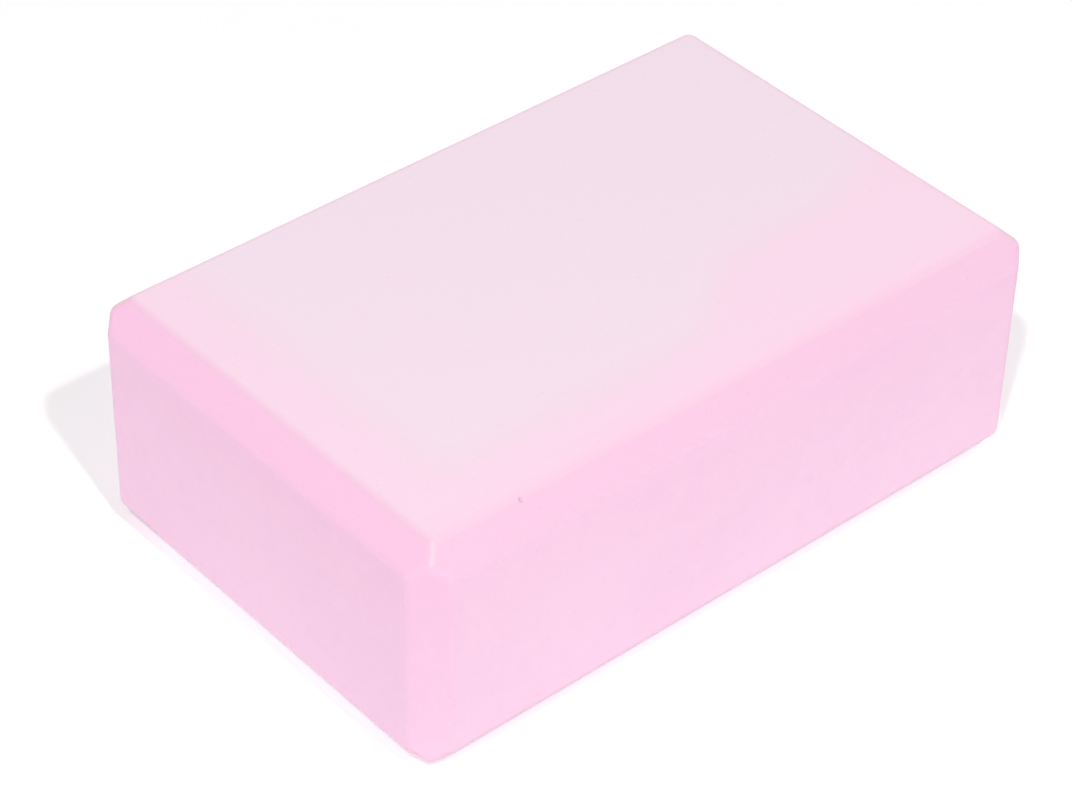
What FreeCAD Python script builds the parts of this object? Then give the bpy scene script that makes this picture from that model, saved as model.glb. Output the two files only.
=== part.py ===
# A bevelled foam yoga block: two slabs of closed-cell foam bonded face to face by a thin hot-melt film,
# then sawn to size and bevelled along every edge as one brick.
# The block lies flat, with X along its length, Y across its width and Z up.
# The origin is the middle of its underside.
import FreeCAD, Part
import Sketcher
import os

# Driving dimensions, in millimetres
DRIVING_SIZES = {
    "block_length": 230.0,
    "block_width": 150.0,
    "slab_thickness": 39.9,
    "film_thickness": 0.2,
    "bevel_leg": 8.5,
    "crease_radius": 4.0,
}

doc = FreeCAD.newDocument("yoga_block")
sheet = doc.addObject("Spreadsheet::Sheet", "sizes")
for row, (alias, value) in enumerate(DRIVING_SIZES.items(), start=1):
    sheet.set(f"A{row}", alias)
    sheet.set(f"B{row}", str(value))
    sheet.setAlias(f"B{row}", alias)
doc.recompute()

HALF_LENGTH = "sizes.block_length / 2"
HALF_WIDTH = "sizes.block_width / 2"
SLAB_TOP = "sizes.slab_thickness"
BEVEL_LEG = "sizes.bevel_leg"

# Seen from above, the brick is a rectangle with its four corners bevelled off
PLAN_OUTLINE = [
    (f"{HALF_LENGTH} - {BEVEL_LEG}", f"-({HALF_WIDTH})"),
    (f"{HALF_LENGTH}", f"{BEVEL_LEG} - {HALF_WIDTH}"),
    (f"{HALF_LENGTH}", f"{HALF_WIDTH} - {BEVEL_LEG}"),
    (f"{HALF_LENGTH} - {BEVEL_LEG}", f"{HALF_WIDTH}"),
    (f"{BEVEL_LEG} - {HALF_LENGTH}", f"{HALF_WIDTH}"),
    (f"-({HALF_LENGTH})", f"{HALF_WIDTH} - {BEVEL_LEG}"),
    (f"-({HALF_LENGTH})", f"{BEVEL_LEG} - {HALF_WIDTH}"),
    (f"{BEVEL_LEG} - {HALF_LENGTH}", f"-({HALF_WIDTH})"),
]

# Numbers by which a sketch knows its own origin and a line's two ends
SKETCH_ORIGIN = -1
LINE_START = 1
LINE_END = 2


def bevel_waste(half_extent):
    """The two triangles that a pair of opposite bevels takes off a slab's cross-section."""
    return [
        [
            (f"{side}({half_extent})", SLAB_TOP),
            (f"{side}({half_extent} - {BEVEL_LEG})", SLAB_TOP),
            (f"{side}({half_extent})", f"{SLAB_TOP} - {BEVEL_LEG}"),
        ]
        for side in ("", "-")
    ]


def sketch_on(body, role, name, outlines):
    """A sketch of closed outlines on one of the body's own origin planes.

    Each corner of an outline is a pair of expressions of the driving sizes, which hold it in place.
    """
    plane = next(feature for feature in body.Origin.OriginFeatures if feature.Role == role)
    sketch = body.newObject("Sketcher::SketchObject", name)
    sketch.AttachmentSupport = (plane, "")
    sketch.MapMode = "FlatFace"
    for corners in outlines:
        points = [FreeCAD.Vector(*map(sketch.evalExpression, corner), 0) for corner in corners]
        ends = points[1:] + points[:1]
        lines = [sketch.addGeometry(Part.LineSegment(*pair)) for pair in zip(points, ends)]
        for line, following, corner in zip(lines, lines[1:] + lines[:1], corners):
            joined = Sketcher.Constraint("Coincident", line, LINE_END, following, LINE_START)
            sketch.addConstraint(joined)
            for direction, expression in zip(("DistanceX", "DistanceY"), corner):
                distance = sketch.evalExpression(expression)
                held = Sketcher.Constraint(direction, SKETCH_ORIGIN, LINE_START, line, LINE_START, distance)
                sketch.setExpression(f"Constraints[{sketch.addConstraint(held)}]", expression)
    return sketch


def add_board(body, thickness):
    """A flat board of the brick's plan, standing on the body's XY plane."""
    board = body.newObject("PartDesign::Pad", f"{body.Label}_board")
    board.Profile = sketch_on(body, "XY_Plane", f"{body.Label}_plan", [PLAN_OUTLINE])
    board.setExpression("Length", thickness)
    doc.recompute()
    return board


def soften_creases(body, bonded_faces):
    """Rounds every edge of the body over, apart from those round the faces that are bonded."""
    base = body.Tip
    bonded_edges = [edge for face in bonded_faces for edge in face.Edges]
    creases = [
        f"Edge{number}"
        for number, edge in enumerate(base.Shape.Edges, start=1)
        if not any(edge.isSame(bonded) for bonded in bonded_edges)
    ]
    softened = body.newObject("PartDesign::Fillet", f"{body.Label}_creases")
    softened.Base = (base, creases)
    softened.setExpression("Radius", "sizes.crease_radius")
    doc.recompute()


def height_of(face):
    return face.CenterOfMass.z


def foam_slab(label):
    """Half of the brick, bonded face down: a board with both pairs of top edges bevelled."""
    body = doc.addObject("PartDesign::Body", label)
    board = add_board(body, SLAB_TOP)
    volume = board.Shape.Volume
    for edges, role, half_extent in (("end", "XZ_Plane", HALF_LENGTH), ("side", "YZ_Plane", HALF_WIDTH)):
        bevels = body.newObject("PartDesign::Pocket", f"{label}_{edges}_bevels")
        bevels.Profile = sketch_on(body, role, f"{label}_{edges}_waste", bevel_waste(half_extent))
        bevels.Type = "ThroughAll"
        bevels.Midplane = True
        doc.recompute()
        if bevels.Shape.Volume >= volume:
            raise RuntimeError(f"{bevels.Label} takes nothing off")
        volume = bevels.Shape.Volume
    soften_creases(body, [min(body.Shape.Faces, key=height_of)])
    return body


# The lower slab is the same piece as the upper one, turned over
lower_slab = foam_slab("lower_foam_slab")
lower_slab.Placement.Rotation = FreeCAD.Rotation(FreeCAD.Vector(1, 0, 0), 180)
lower_slab.setExpression("Placement.Base.z", SLAB_TOP)

# The film covers the whole of both bonded faces and is trimmed flush with the brick's sides
bond_film = doc.addObject("PartDesign::Body", "bond_film")
film_board = add_board(bond_film, "sizes.film_thickness")
film_faces = sorted(film_board.Shape.Faces, key=height_of)
soften_creases(bond_film, [film_faces[0], film_faces[-1]])
bond_film.setExpression("Placement.Base.z", SLAB_TOP)

upper_slab = foam_slab("upper_foam_slab")
upper_slab.setExpression("Placement.Base.z", f"{SLAB_TOP} + sizes.film_thickness")

doc.recompute()
pieces = [lower_slab, bond_film, upper_slab]
for item in doc.Objects:
    if {"Invalid", "Error"} & set(item.State):
        raise RuntimeError(f"{item.Label} did not build")
for piece in pieces:
    if piece.Shape.isNull() or not piece.Shape.isValid():
        raise RuntimeError(f"{piece.Label} has no valid shape")

os.makedirs("parts", exist_ok=True)
for piece in pieces:
    piece.Shape.exportStep(os.path.join("parts", f"{piece.Label}.step"))
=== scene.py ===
import math

import bpy
import numpy as np
from mathutils import Matrix, Vector


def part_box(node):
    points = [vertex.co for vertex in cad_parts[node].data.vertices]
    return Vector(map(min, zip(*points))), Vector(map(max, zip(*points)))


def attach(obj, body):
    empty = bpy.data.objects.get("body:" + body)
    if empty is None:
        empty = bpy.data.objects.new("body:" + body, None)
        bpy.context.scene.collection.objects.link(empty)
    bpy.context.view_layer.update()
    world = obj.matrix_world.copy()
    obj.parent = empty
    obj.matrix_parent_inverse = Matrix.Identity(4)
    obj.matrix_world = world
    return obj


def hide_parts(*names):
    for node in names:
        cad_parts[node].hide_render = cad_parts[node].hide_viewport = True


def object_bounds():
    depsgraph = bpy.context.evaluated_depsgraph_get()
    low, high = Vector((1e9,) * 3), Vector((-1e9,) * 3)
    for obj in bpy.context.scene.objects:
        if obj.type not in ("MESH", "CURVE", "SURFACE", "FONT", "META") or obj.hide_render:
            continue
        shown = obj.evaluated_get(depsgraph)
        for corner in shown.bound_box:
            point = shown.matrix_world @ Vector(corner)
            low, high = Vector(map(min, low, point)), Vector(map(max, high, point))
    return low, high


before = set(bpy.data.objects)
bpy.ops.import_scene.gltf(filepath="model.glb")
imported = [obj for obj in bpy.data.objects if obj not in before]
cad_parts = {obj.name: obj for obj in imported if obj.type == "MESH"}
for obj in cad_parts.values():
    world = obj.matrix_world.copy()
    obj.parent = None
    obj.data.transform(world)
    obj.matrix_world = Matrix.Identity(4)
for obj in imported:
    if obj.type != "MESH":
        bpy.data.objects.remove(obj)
cad_box = [list(corner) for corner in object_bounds()]


# Foam slabs
# The brick is two slabs of closed-cell EVA foam, pale pink all through, welded face to face.
# Each keeps the satin skin of the press on its large face; its sides are sawn and its edges bevelled.
BEVEL_LEG = 0.0085
CREASE_RADIUS = 0.004

# Steps of the mesh, in metres: small over the bevels, and smallest at the nick
FINE_MARGIN = BEVEL_LEG + CREASE_RADIUS
FINE_STEP = 0.0005
NICK_STEP = 0.0002
COARSE_STEP = 0.0025
STEP_GROWTH = 0.25
STEP_SAMPLES = 20001


def graded_lines(low, high, fine_spans):
    """Places from low to high, whose step is the one set for each fine span and widens steadily away from it.

    The steps that fit in are counted along the way, and a place is taken at each whole count.
    """
    places = np.linspace(low, high, STEP_SAMPLES)
    steps = np.full(places.shape, COARSE_STEP)
    for start, stop, step in fine_spans:
        apart = np.maximum(np.maximum(start - places, places - stop), 0.0)
        steps = np.minimum(steps, step + STEP_GROWTH * apart)
    counted = np.concatenate(([0.0], np.cumsum(np.diff(places) / steps[:-1])))
    return np.interp(np.linspace(0.0, counted[-1], math.ceil(counted[-1]) + 1), counted, places)


def fine_ends(low, high):
    """Spans at both ends, wide enough to take in a bevel and its creases."""
    return [(low, low + FINE_MARGIN, FINE_STEP), (high - FINE_MARGIN, high, FINE_STEP)]


def open_box_skin(x_lines, y_lines, z_lines):
    """The skin of a box open underneath, as points on a lattice of lines, welded quads, and its lower rim.

    Every side is a grid of two of the three sets of lines, and the sides share the points of their edges.
    """
    shape = (len(x_lines), len(y_lines), len(z_lines))
    on_skin = np.ones(shape, bool)
    on_skin[1:-1, 1:-1, :-1] = False
    number = np.full(shape, -1)
    number[on_skin] = np.arange(on_skin.sum())
    points = np.stack(np.meshgrid(x_lines, y_lines, z_lines, indexing="ij"), axis=-1)[on_skin]
    sides = (number[0].T, number[-1], number[:, 0], number[:, -1].T, number[:, :, -1])
    quads = [
        np.stack((side[:-1, :-1], side[1:, :-1], side[1:, 1:], side[:-1, 1:]), axis=-1).reshape(-1, 4)
        for side in sides
    ]
    rim = number[:, :, 0]
    rim_loop = np.concatenate((rim[:-1, 0], rim[-1, :-1], rim[:0:-1, -1], rim[0, :0:-1]))
    return points, np.concatenate(quads), rim_loop


def bevelled_planes(half_length, half_width, top):
    """Unit normals and distances from the origin of the planes that bound the upper half of the brick."""
    corner = np.array([half_length, half_width, top])
    flats = [(1, 0, 0), (-1, 0, 0), (0, 1, 0), (0, -1, 0), (0, 0, 1)]
    top_bevels = [(1, 0, 1), (-1, 0, 1), (0, 1, 1), (0, -1, 1)]
    corner_bevels = [(1, 1, 0), (1, -1, 0), (-1, 1, 0), (-1, -1, 0)]
    directions = np.array(flats + top_bevels + corner_bevels, float)
    lengths = np.linalg.norm(directions, axis=1)
    reach = np.abs(directions) @ corner
    reach[len(flats):] -= BEVEL_LEG
    return directions / lengths[:, None], reach / lengths


def nearest_inside(points, normals, distances, sweeps=60):
    """Nearest point to each given one in the solid that the planes bound.

    Each sweep drops the points on every plane in turn and hands back what that plane took last time,
    so that the drops settle on the nearest point (alternating projections with corrections).
    """
    nearest = points.copy()
    taken = np.zeros((len(normals), *points.shape))
    for _ in range(sweeps):
        for plane, (normal, distance) in enumerate(zip(normals, distances)):
            offered = nearest + taken[plane]
            outside = np.maximum(offered @ normal - distance, 0.0)
            nearest = offered - outside[:, None] * normal
            taken[plane] = offered - nearest
    return nearest


def eased_brick(points, normals, distances):
    """The box's skin drawn on to the bevelled brick, with every crease rounded by a ball of the set radius.

    A point goes to the nearest point of the brick shrunk by the radius, then out again by the radius.
    Returns the points and the directions in which the skin faces there.
    """
    core = nearest_inside(points, normals, distances - CREASE_RADIUS)
    outward = points - core
    facing = outward / np.linalg.norm(outward, axis=1)[:, None]
    return core + CREASE_RADIUS * facing, facing


def smooth_step(values):
    """Carries 0 to 1 smoothly on to 0 to 1, and holds what lies outside at the ends."""
    share = np.clip(values, 0.0, 1.0)
    return share**2 * (3 - 2 * share)


# Sawn foam is never quite flat, and this block has one small nick
UNEVEN_HEIGHT = 0.00006
UNEVEN_LENGTHS = (0.045, 0.110)
UNEVEN_WAVES = 7
UNEVEN_FADE = 0.006
UNEVEN_SEED = 11
NICK_CENTRE = (-0.0772, -0.0678, 0.0785)
NICK_RADIUS = 0.0006
NICK_DEPTH = 0.0008


def unevenness(points, seam_height):
    """How far the foam lies under true flat: long waves in random directions, faded out towards the seam."""
    random = np.random.default_rng(UNEVEN_SEED)
    directions = random.normal(size=(UNEVEN_WAVES, 3))
    directions /= np.linalg.norm(directions, axis=1)[:, None]
    lengths = random.uniform(*UNEVEN_LENGTHS, UNEVEN_WAVES)
    phases = random.uniform(0.0, 2 * math.pi, UNEVEN_WAVES)
    waves = np.sin(2 * math.pi * (points @ directions.T) / lengths + phases)
    fade = smooth_step(np.abs(points[:, 2] - seam_height) / UNEVEN_FADE)
    return UNEVEN_HEIGHT * (1.0 - waves).mean(axis=1) * fade


def nick_depth(points):
    """Depth of the small nick in the front top crease: a round dent with soft sides."""
    apart = np.linalg.norm(points - np.array(NICK_CENTRE), axis=1)
    return NICK_DEPTH * np.exp(-((apart / NICK_RADIUS) ** 2))


# Inner edge of the strip left free of the painted sheen. A step is its start and end along the brick, and its
# size
SHEEN_LEFT = -0.087
SHEEN_FRONT = -0.047
SHEEN_STEPS = ((0.000, 0.040, 0.021), (0.070, 0.115, 0.014))
SHEEN_EDGE = 0.020


def painted_sheen_patch(points):
    """Where the skin gets a pale patch of painted sheen: all but a strip along its front and its left.

    The strip's inner edge is straight along the left, and along the front it goes further in by smooth steps
    towards the right. Each is faded across.
    """
    along = points[:, 0]
    front_edge = SHEEN_FRONT + sum(
        step * smooth_step((along - start) / (stop - start)) for start, stop, step in SHEEN_STEPS
    )
    inside = (points[:, 1] - front_edge, along - SHEEN_LEFT)
    front, left = (smooth_step(distance / SHEEN_EDGE + 0.5) for distance in inside)
    return front * left


# Thinning of the skin, and of its partly painted sheen, along the front edge, and its lap on to the bevels
SHEEN_THIN_STRIP = 0.018
SHEEN_THIN_FADE = 0.010
SHEEN_THIN_SHARE = 0.4
# The lap takes some of the bevels' deeper pink off just under the creases: painted light that lightens them
LAP_DEPTH = 0.0019
LAP_FADE = 0.0009
LAP_COVER = 0.33
LAP_LOST_AT_ENDS = 0.8

# How the bevels, ridges, uprights, ends and sides are told apart, mostly by the way the foam faces
RUN_OUT_POWER = 1.8
RIDGE_SPLIT = 5.0
RIDGE_REACH = 0.7
RIDGE_REACH_FADE = 0.25
RIDGE_GAIN = 6.0
RIDGE_RISE = 0.6
RIDGE_RISE_FADE = 0.15
CORNER_GAIN = 2.0
CORNER_RISE = 0.8
CORNER_RISE_FADE = 0.4
END_FACE_SHARE = 0.35
UPPER_POWER = 1.7


def foam_masks(points, facing, heights, brick_high):
    """Values from 0 to 1 that say which colour the foam gets at each point of a slab that lies skin up.

    Skin is the large face; its greyer colour is in part a painted sheen, thinned along the front edge,
    and its pale patch is painted sheen. Both end where the creases turn down to the bevels, and turn
    tints the lap, where less of the bevels' painted shade lies, as painted light that lightens the crease.
    Bevel lays a deeper pink on the upper bevels as painted shade, less under the lap, running out where
    they turn down to the sides. Of the crease between two upper bevels, the half by the side has a painted
    highlight and the other half painted shade. The bevels of the uprights get painted shade, and the end
    faces and, more strongly, their bevels a tint painted for the weaker sheen on them. The nick's hollow
    gets painted shade, and the sides deepen with their height in the brick as painted shade, where less
    light comes up from the floor.
    """
    tilt = np.arccos(np.clip(facing[:, 2], 0.0, 1.0))
    flat = np.maximum(np.cos(2 * tilt), 0.0) ** 2
    run_out = np.clip(4 * tilt / math.pi - 1.0, 0.0, 1.0) ** RUN_OUT_POWER
    across_ends, across_sides = np.abs(facing[:, :2]).T
    both_ways = across_ends * across_sides
    end_share = across_ends**2 / np.maximum(across_sides**2 + across_ends**2, 1e-9)

    handled = heights > brick_high[2] / 2
    rise = np.clip((heights - BEVEL_LEG) / (brick_high[2] - 2 * BEVEL_LEG), 0.0, 1.0)
    sheen_thinning = smooth_step((SHEEN_THIN_STRIP - brick_high[1] - points[:, 1]) / SHEEN_THIN_FADE)
    lap = smooth_step((LAP_DEPTH - brick_high[2] + points[:, 2]) / LAP_FADE)
    covered = LAP_COVER * lap * (1.0 - LAP_LOST_AT_ENDS * end_share)
    # Painted shade: a deeper pink on the upper bevels, which catch the most light, running out as they turn
    # to the sides
    bevel = handled * (1.0 - flat) * (1.0 - run_out) * (1.0 - covered)

    # A painted highlight on the side's half of the crease between two upper bevels, and painted shade on the
    # end's half
    towards_side = across_sides - across_ends
    side_half = smooth_step(RIDGE_SPLIT * towards_side + 0.5)
    highlight_half = side_half * smooth_step((RIDGE_REACH - towards_side) / RIDGE_REACH_FADE)
    raised = smooth_step((facing[:, 2] - RIDGE_RISE) / RIDGE_RISE_FADE)
    on_ridge = handled * np.clip(RIDGE_GAIN * both_ways, 0.0, 1.0) * raised
    upright = smooth_step((CORNER_RISE - facing[:, 2]) / CORNER_RISE_FADE)
    return {
        "skin": flat * (1.0 - SHEEN_THIN_SHARE * sheen_thinning),
        "painted_sheen": flat * painted_sheen_patch(points),
        "bevel": bevel,
        "turn": lap * np.sqrt(1.0 - flat),
        "painted_ridge_highlight": on_ridge * highlight_half,
        "end_half_shade": on_ridge * (1.0 - side_half),
        "corner": np.clip(CORNER_GAIN * both_ways, 0.0, 1.0) * upright,
        "end": (1.0 - flat) * end_share * (END_FACE_SHARE + (1.0 - END_FACE_SHARE) * bevel),
        "nick": handled * nick_depth(points) / NICK_DEPTH,
        "upper": rise**UPPER_POWER,
    }


SEAM_ANGLE = math.radians(60)


def foam_piece(name, points, quads, rim_loop, masks):
    """A closed smooth mesh of the slab, flat across its bonded face, that carries each mask at its points."""
    mesh = bpy.data.meshes.new(name)
    mesh.from_pydata(points.tolist(), [], quads.tolist() + [rim_loop.tolist()])
    mesh.shade_smooth()
    mesh.set_sharp_from_angle(angle=SEAM_ANGLE)
    for mask, values in masks.items():
        attribute = mesh.attributes.new(mask, "FLOAT", "POINT")
        attribute.data.foreach_set("value", values.astype(np.float32))
    piece = bpy.data.objects.new(name, mesh)
    bpy.context.scene.collection.objects.link(piece)
    return piece


def fill_inputs(tree, node, inputs):
    """Sets each named input of a shader node to a value, or joins it to another node's output."""
    for place, value in inputs.items():
        if isinstance(value, bpy.types.NodeSocket):
            tree.links.new(value, node.inputs[place])
        else:
            node.inputs[place].default_value = value


def add_node(tree, kind, inputs, **settings):
    """A new shader node with its settings made and its inputs filled."""
    node = tree.nodes.new(kind)
    for setting, value in settings.items():
        setattr(node, setting, value)
    fill_inputs(tree, node, inputs)
    return node


def calculate(tree, operation, *values):
    """The result of a sum on one, two or three values."""
    return add_node(tree, "ShaderNodeMath", dict(enumerate(values)), operation=operation).outputs[0]


def ramp(tree, value, low, high, out_low=0.0, out_high=1.0):
    """The value carried smoothly from one range to another, and held at its ends."""
    inputs = {"Value": value, "From Min": low, "From Max": high, "To Min": out_low, "To Max": out_high}
    return add_node(tree, "ShaderNodeMapRange", inputs, interpolation_type="SMOOTHSTEP").outputs["Result"]


def blend_colours(tree, factor, first, second, blend="MIX"):
    """The first colour where the factor is 0, the second, or their product, where it is 1."""
    inputs = {0: factor, 6: first, 7: second}
    return add_node(tree, "ShaderNodeMix", inputs, data_type="RGBA", blend_type=blend).outputs[2]


# Larger bubbles and drifts of tone, as rates for each small bubble or each metre, and bounds of their values
LARGE_BUBBLE_RATE = 0.37
PIT_CHANCE = (0.88, 0.96)
PIT_MOUTH = (0.16, 0.34)
DRIFT = {"Scale": 22.0, "Detail": 3.0}
MOTTLE = {"Scale": 260.0, "Detail": 4.0}
MOTTLE_SHARE = 0.6
TONE_BOUNDS = (0.55, 1.05)


def foam_grain_group():
    """Grain of cut closed-cell foam: bubbles sliced open, a scatter of larger ones, and drifts of colour.

    Height rises from the middle of each bubble to its wall. Pits are larger bubbles that chance opened.
    Tone is a slow noise with a share of a finer one.
    """
    group = bpy.data.node_groups.new("foam_grain", "ShaderNodeTree")
    for name, kind in (("Position", "NodeSocketVector"), ("Bubble Size", "NodeSocketFloat")):
        group.interface.new_socket(name, in_out="INPUT", socket_type=kind)
    for name in ("Height", "Pits", "Tone"):
        group.interface.new_socket(name, in_out="OUTPUT", socket_type="NodeSocketFloat")
    given = group.nodes.new("NodeGroupInput").outputs
    position = given["Position"]
    per_metre = calculate(group, "DIVIDE", 1.0, given["Bubble Size"])
    bubbles = add_node(group, "ShaderNodeTexVoronoi", {"Vector": position, "Scale": per_metre})
    large_scale = calculate(group, "MULTIPLY", per_metre, LARGE_BUBBLE_RATE)
    large = add_node(group, "ShaderNodeTexVoronoi", {"Vector": position, "Scale": large_scale})
    chance = add_node(group, "ShaderNodeSeparateColor", {"Color": large.outputs["Color"]}).outputs[0]
    opened = ramp(group, large.outputs["Distance"], *PIT_MOUTH, 1.0, 0.0)
    pits = calculate(group, "MULTIPLY", ramp(group, chance, *PIT_CHANCE), opened)
    height = calculate(group, "SUBTRACT", bubbles.outputs["Distance"], pits)
    drift, mottle = (
        add_node(group, "ShaderNodeTexNoise", {"Vector": position, **noise}).outputs[0]
        for noise in (DRIFT, MOTTLE)
    )
    tone = ramp(group, calculate(group, "MULTIPLY_ADD", mottle, MOTTLE_SHARE, drift), *TONE_BOUNDS)
    add_node(group, "NodeGroupOutput", {"Height": height, "Pits": pits, "Tone": tone})
    return group


def grained_material(name, grain_group, bubble_size):
    """A new material, its nodes, and the foam's grain in it with bubbles of that size."""
    material = bpy.data.materials.new(name)
    material.use_nodes = True
    tree = material.node_tree
    position = add_node(tree, "ShaderNodeTexCoord", {}).outputs["Object"]
    inputs = {"Position": position, "Bubble Size": bubble_size}
    return material, tree, add_node(tree, "ShaderNodeGroup", inputs, node_tree=grain_group).outputs


# The foam's own pink, and what is laid on it in turn: its mask, how it is laid on, and its colour
FOAM_PINK = (0.972, 0.659, 0.842, 1.0)
FOAM_DEEP_PINK = (0.958, 0.635, 0.826, 1.0)
FOAM_LAYERS = (
    # Painted shade: the sides deepen towards their top, where less light comes up from the floor
    ("upper", "MULTIPLY", (0.973, 0.918, 0.947, 1.0)),
    # Painted shade on the bevels of the uprights, which the lamps light more
    ("corner", "MULTIPLY", (0.985, 0.955, 0.965, 1.0)),
    # The skin's greyer colour is in part a painted sheen
    ("skin", "MIX", (0.876, 0.628, 0.760, 1.0)),
    # A painted sheen: a paler patch on the skin
    ("painted_sheen", "MIX", (0.829, 0.670, 0.762, 1.0)),
    # Painted shade: a deeper pink on the upper bevels, which catch the most light
    ("bevel", "MIX", (0.820, 0.509, 0.680, 1.0)),
    # A tint on the painted light that the lap lays in the crease
    ("turn", "MULTIPLY", (0.960, 1.000, 0.955, 1.0)),
    # A tint painted on the ends, for the weaker sheen they catch
    ("end", "MULTIPLY", (1.045, 0.990, 1.030, 1.0)),
    # Painted shade on the end's half of the crease between two upper bevels
    ("end_half_shade", "MULTIPLY", (0.980, 0.948, 0.935, 1.0)),
    # A painted highlight on the side's half of the crease between two upper bevels
    ("painted_ridge_highlight", "MIX", (0.760, 0.560, 0.660, 1.0)),
    # Painted shade in the nick's hollow
    ("nick", "MULTIPLY", (0.930, 0.860, 0.890, 1.0)),
)
PIT_SHADE = (0.94, 0.88, 0.91, 1.0)
PIT_SHADE_SHARE = 0.35
FOAM_BUBBLE = 0.0006
GRAIN_STRENGTH = 0.5
GRAIN_DEPTH = 0.00008
GRAIN_LOST_ON_SKIN = 0.6
CUT_ROUGHNESS = 0.55
PIT_ROUGHNESS = 0.15
SKIN_SMOOTHNESS = 0.05
SKIN_GLOSS = 0.35
SKIN_GLOSS_IN_PITS = 0.10


def foam_material(grain_group):
    """Pale pink foam: satin skin on the large faces, matt cut sides, and a deeper pink painted on the upper
    bevels as shade.
    """
    material, tree, grain = grained_material("pink_foam", grain_group, FOAM_BUBBLE)
    pits = grain["Pits"]
    masks = {
        mask: add_node(tree, "ShaderNodeAttribute", {}, attribute_name=mask).outputs["Fac"]
        for mask, _, _ in FOAM_LAYERS
    }
    colour = blend_colours(tree, grain["Tone"], FOAM_DEEP_PINK, FOAM_PINK)
    for mask, blend, layer in FOAM_LAYERS:
        colour = blend_colours(tree, masks[mask], colour, layer, blend)
    # Painted shade darkens the opened pits, more than their bump alone would
    pitted = calculate(tree, "MULTIPLY", pits, PIT_SHADE_SHARE)
    colour = blend_colours(tree, pitted, colour, PIT_SHADE, "MULTIPLY")

    cut_roughness = calculate(tree, "MULTIPLY_ADD", pits, PIT_ROUGHNESS, CUT_ROUGHNESS)
    roughness = calculate(tree, "MULTIPLY_ADD", masks["skin"], -SKIN_SMOOTHNESS, cut_roughness)
    depth = calculate(tree, "MULTIPLY_ADD", masks["skin"], -GRAIN_LOST_ON_SKIN, 1.0)
    height = calculate(tree, "MULTIPLY", grain["Height"], depth)
    relief = {"Height": height, "Strength": GRAIN_STRENGTH, "Distance": GRAIN_DEPTH}
    bump = add_node(tree, "ShaderNodeBump", relief)
    gloss = ramp(tree, pits, 0.0, 1.0, SKIN_GLOSS, SKIN_GLOSS_IN_PITS)
    finish = {
        "Base Color": colour,
        "Roughness": roughness,
        "Normal": bump.outputs["Normal"],
        "Specular IOR Level": 0.5,
        "Coat Weight": calculate(tree, "MULTIPLY", masks["skin"], gloss),
        "Coat Roughness": 0.3,
        "Coat IOR": 1.5,
    }
    fill_inputs(tree, tree.nodes["Principled BSDF"], finish)
    return material


brick_high = np.array(cad_box[1])
half_length, half_width, brick_height = cad_box[1]
upper_low, upper_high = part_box("upper_foam_slab")
planes, plane_distances = bevelled_planes(half_length, half_width, brick_height)
nick_spans = [(place - 2 * NICK_RADIUS, place + 2 * NICK_RADIUS, NICK_STEP) for place in NICK_CENTRE]
slab_points, slab_quads, slab_rim = open_box_skin(
    graded_lines(-half_length, half_length, [*fine_ends(-half_length, half_length), nick_spans[0]]),
    graded_lines(-half_width, half_width, [*fine_ends(-half_width, half_width), nick_spans[1]]),
    graded_lines(upper_low.z, upper_high.z, [fine_ends(upper_low.z, upper_high.z)[1], nick_spans[2]]),
)
slab_points, slab_facing = eased_brick(slab_points, planes, plane_distances)

foam_grain = foam_grain_group()
pink_foam = foam_material(foam_grain)
turned_over = np.array([1.0, 1.0, -1.0])
for name, node, upward in (("upper_foam", "upper_foam_slab", True), ("lower_foam", "lower_foam_slab", False)):
    points, facing = slab_points, slab_facing
    quads, rim_loop = slab_quads, slab_rim[::-1]
    if not upward:
        points = points * turned_over + [0.0, 0.0, brick_height]
        facing = facing * turned_over
        quads, rim_loop = quads[:, ::-1], slab_rim
    masks = foam_masks(slab_points, slab_facing, points[:, 2], brick_high)
    sunk = unevenness(points, brick_height / 2) + nick_depth(points)
    slab = foam_piece(name, points - sunk[:, None] * facing, quads, rim_loop, masks)
    slab.data.materials.append(pink_foam)
    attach(slab, "root")
    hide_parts(node)


# Bond film
# A hot-melt film of the foam's own pink lies between the slabs and is trimmed flush with the sides.
# It shows only as a hairline round the brick, a little deeper and smoother than the cut foam.
FILM_PINK = (0.955, 0.640, 0.828, 1.0)
FILM_DEEP_PINK = (0.935, 0.610, 0.806, 1.0)
FILM_BUBBLE = 0.0003
FILM_ROUGHNESS = 0.45
FILM_PIT_ROUGHNESS = 0.10


def film_material(grain_group):
    """Melted film: the foam's pink with the foam's slow drift of tone, and next to no grain."""
    material, tree, grain = grained_material("pink_film", grain_group, FILM_BUBBLE)
    finish = {
        "Base Color": blend_colours(tree, grain["Tone"], FILM_DEEP_PINK, FILM_PINK),
        "Roughness": calculate(tree, "MULTIPLY_ADD", grain["Pits"], FILM_PIT_ROUGHNESS, FILM_ROUGHNESS),
    }
    fill_inputs(tree, tree.nodes["Principled BSDF"], finish)
    return material


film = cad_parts["bond_film"]
film.data.materials.clear()
film.data.materials.append(film_material(foam_grain))


# Studio
# On a white floor under a dim ceiling, a little painted light brightens the floor close round the brick's
# front and ends.
# The white walls all round are brighter at the back, and two small lamps at the front cast two shadows.
WHITE = (1.0, 1.0, 1.0, 1.0)
FLOOR_SIZE = 12.0
FLOOR_BOUNCE = (0.55, 0.55, 0.55, 1.0)
FLOOR_SEEN = (0.92, 0.92, 0.92, 1.0)
FLOOR_GLOW = 0.10
NEAR_BOUNCE = (0.90, 0.90, 0.90, 1.0)
NEAR_GLOW = 0.24
NEAR_REACH = 0.010
NEAR_BACK = (0.045, 0.075)


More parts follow.
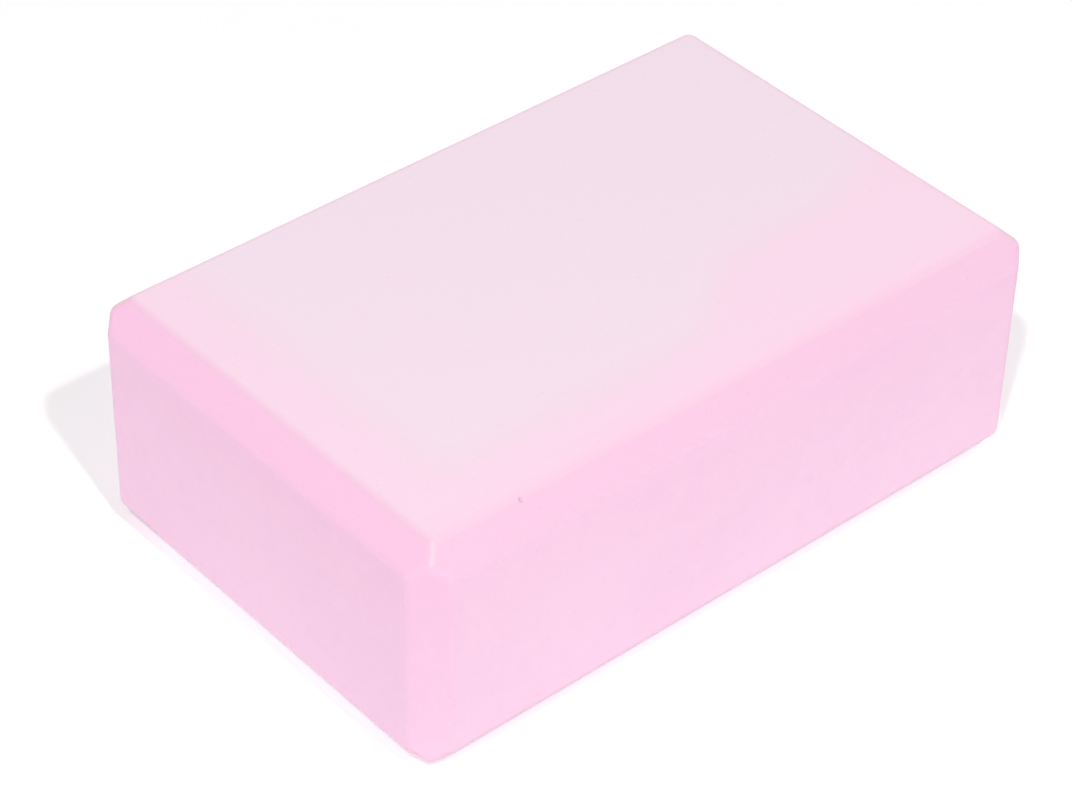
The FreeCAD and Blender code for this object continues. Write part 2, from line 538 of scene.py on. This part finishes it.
def seen_rays(tree):
    """1 for rays that show a thing to the camera, straight, in gloss or through glass, and 0 for others."""
    rays = add_node(tree, "ShaderNodeLightPath", {}).outputs
    straight_or_gloss = calculate(tree, "MAXIMUM", rays["Is Camera Ray"], rays["Is Glossy Ray"])
    return calculate(tree, "MAXIMUM", straight_or_gloss, rays["Is Transmission Ray"])


white = bpy.data.materials.new("white_floor")
white.use_nodes = True
tree = white.node_tree
tree.nodes.clear()
place = add_node(tree, "ShaderNodeTexCoord", {}).outputs["Object"]
aside = add_node(tree, "ShaderNodeVectorMath", {0: place}, operation="ABSOLUTE").outputs["Vector"]
foot = Vector((half_length, half_width, 0.0))
clear = add_node(tree, "ShaderNodeVectorMath", {0: aside, 1: foot}, operation="SUBTRACT").outputs["Vector"]
clear_x, clear_y, _ = add_node(tree, "ShaderNodeSeparateXYZ", {"Vector": clear}).outputs
# Painted light: close round the brick's front and ends the floor glows and bounces more, lightening the
# brick's contact shadow
beside = ramp(tree, calculate(tree, "MAXIMUM", clear_x, clear_y), 0.0, NEAR_REACH, 1.0, 0.0)
backwards = add_node(tree, "ShaderNodeSeparateXYZ", {"Vector": place}).outputs["Y"]
near = calculate(tree, "MULTIPLY", beside, ramp(tree, backwards, *NEAR_BACK, 1.0, 0.0))
bounce_colour = blend_colours(tree, near, FLOOR_BOUNCE, NEAR_BOUNCE)
bounce = add_node(tree, "ShaderNodeBsdfDiffuse", {"Color": bounce_colour})
lit = add_node(tree, "ShaderNodeBsdfDiffuse", {"Color": FLOOR_SEEN})
glow_strength = calculate(tree, "MULTIPLY_ADD", near, NEAR_GLOW - FLOOR_GLOW, FLOOR_GLOW)
glow = add_node(tree, "ShaderNodeEmission", {"Strength": glow_strength})
bright = add_node(tree, "ShaderNodeAddShader", {0: lit.outputs[0], 1: glow.outputs[0]})
sorted_rays = {0: seen_rays(tree), 1: bounce.outputs[0], 2: bright.outputs[0]}
shown = add_node(tree, "ShaderNodeMixShader", sorted_rays)
add_node(tree, "ShaderNodeOutputMaterial", {"Surface": shown.outputs[0]})

reach = FLOOR_SIZE / 2
floor_mesh = bpy.data.meshes.new("floor")
floor_corners = [(-reach, -reach, 0.0), (reach, -reach, 0.0), (reach, reach, 0.0), (-reach, reach, 0.0)]
floor_mesh.from_pydata(floor_corners, [], [(0, 1, 2, 3)])
floor_mesh.materials.append(white)
floor = bpy.data.objects.new("floor", floor_mesh)
bpy.context.scene.collection.objects.link(floor)


# Light of the walls, which fades out between two heights, given as sines of the elevation, and of the ceiling
WALL_LIGHT = 1.20
WALL_BACK_SHARE = 0.40
WALL_BACK_AZIMUTH = 55.0
WALL_TOP = math.sin(math.radians(20.0))
WALL_END = 1.5 * WALL_TOP
CEILING_LIGHT = 0.40


def direction(azimuth, elevation):
    """Unit vector at an azimuth from +X and an elevation above the floor, in degrees."""
    turn, lift = math.radians(azimuth), math.radians(elevation)
    return Vector((math.cos(turn) * math.cos(lift), math.sin(turn) * math.cos(lift), math.sin(lift)))


world = bpy.data.worlds.new("white_walls")
bpy.context.scene.world = world
world.use_nodes = True
tree = world.node_tree
tree.nodes.clear()
towards = add_node(tree, "ShaderNodeTexCoord", {}).outputs["Generated"]
upwards = add_node(tree, "ShaderNodeSeparateXYZ", {"Vector": towards}).outputs["Z"]
back_of_room = direction(WALL_BACK_AZIMUTH, 0.0)
backwards = add_node(tree, "ShaderNodeVectorMath", {0: towards, 1: back_of_room}, operation="DOT_PRODUCT")
back_light = WALL_LIGHT * WALL_BACK_SHARE
wall_light = calculate(tree, "MULTIPLY_ADD", backwards.outputs["Value"], back_light, WALL_LIGHT)
on_wall = ramp(tree, upwards, WALL_TOP, WALL_END, 1.0, 0.0)
light = calculate(tree, "MULTIPLY_ADD", wall_light, on_wall, CEILING_LIGHT)
walls = add_node(tree, "ShaderNodeBackground", {"Color": WHITE, "Strength": light})
backdrop = add_node(tree, "ShaderNodeBackground", {"Color": WHITE, "Strength": 1.0})
sorted_rays = {0: seen_rays(tree), 1: walls.outputs[0], 2: backdrop.outputs[0]}
shown = add_node(tree, "ShaderNodeMixShader", sorted_rays)
add_node(tree, "ShaderNodeOutputWorld", {"Surface": shown.outputs[0]})


# Square lamps, turned to face the brick. Their light is the brightness of their surface, where 1 is white
LAMP_AZIMUTHS = (-105.4, -142.6)
LAMP_ELEVATION = 52.4
LAMP_DISTANCE = 2.6
LAMP_SIZE = 0.08
LAMP_LIGHT = 928.0

brick_middle = Vector((0.0, 0.0, brick_height / 2))
for number, azimuth in enumerate(LAMP_AZIMUTHS):
    lamp = bpy.data.lights.new(f"front_lamp_{number}", "AREA")
    lamp.shape = "SQUARE"
    lamp.size = LAMP_SIZE
    lamp.energy = LAMP_LIGHT * math.pi * LAMP_SIZE**2
    away = direction(azimuth, LAMP_ELEVATION)
    holder = bpy.data.objects.new(lamp.name, lamp)
    holder.location = brick_middle + LAMP_DISTANCE * away
    holder.rotation_mode = "QUATERNION"
    holder.rotation_quaternion = (-away).to_track_quat("-Z", "Y")
    holder.visible_camera = False
    bpy.context.scene.collection.objects.link(holder)


# Camera
# It stands where the photo was taken from, by a fit to the brick's straight edges.
# Its slides are to the right and down in the picture, away from looking straight at the brick's middle.
PHOTO_WIDTH = 1072.0
FOCAL_PIXELS = 3419.7
SENSOR_WIDTH = 36.0
CAMERA_TURN = math.radians(-41.559)
CAMERA_LIFT = math.radians(39.147)
CAMERA_ROLL = math.radians(-1.355)
CAMERA_DISTANCE = 0.99797
CAMERA_SLIDES = (-0.00969, 0.00731)

back = Vector(
    (
        math.sin(CAMERA_TURN) * math.cos(CAMERA_LIFT),
        -math.cos(CAMERA_TURN) * math.cos(CAMERA_LIFT),
        math.sin(CAMERA_LIFT),
    )
)
level_right = Vector((0.0, 0.0, 1.0)).cross(back).normalized()
level_down = level_right.cross(back)
right = math.cos(CAMERA_ROLL) * level_right + math.sin(CAMERA_ROLL) * level_down
down = math.cos(CAMERA_ROLL) * level_down - math.sin(CAMERA_ROLL) * level_right
camera = bpy.data.cameras.new("camera")
camera.sensor_width = SENSOR_WIDTH
camera.lens = SENSOR_WIDTH * FOCAL_PIXELS / PHOTO_WIDTH
eye = brick_middle + CAMERA_DISTANCE * back + CAMERA_SLIDES[0] * right + CAMERA_SLIDES[1] * down
viewer = bpy.data.objects.new("camera", camera)
viewer.matrix_world = Matrix.Translation(eye) @ Matrix((right, -down, back)).transposed().to_4x4()
bpy.context.scene.collection.objects.link(viewer)
bpy.context.scene.camera = viewer

bpy.context.scene.view_settings.view_transform = "Standard"
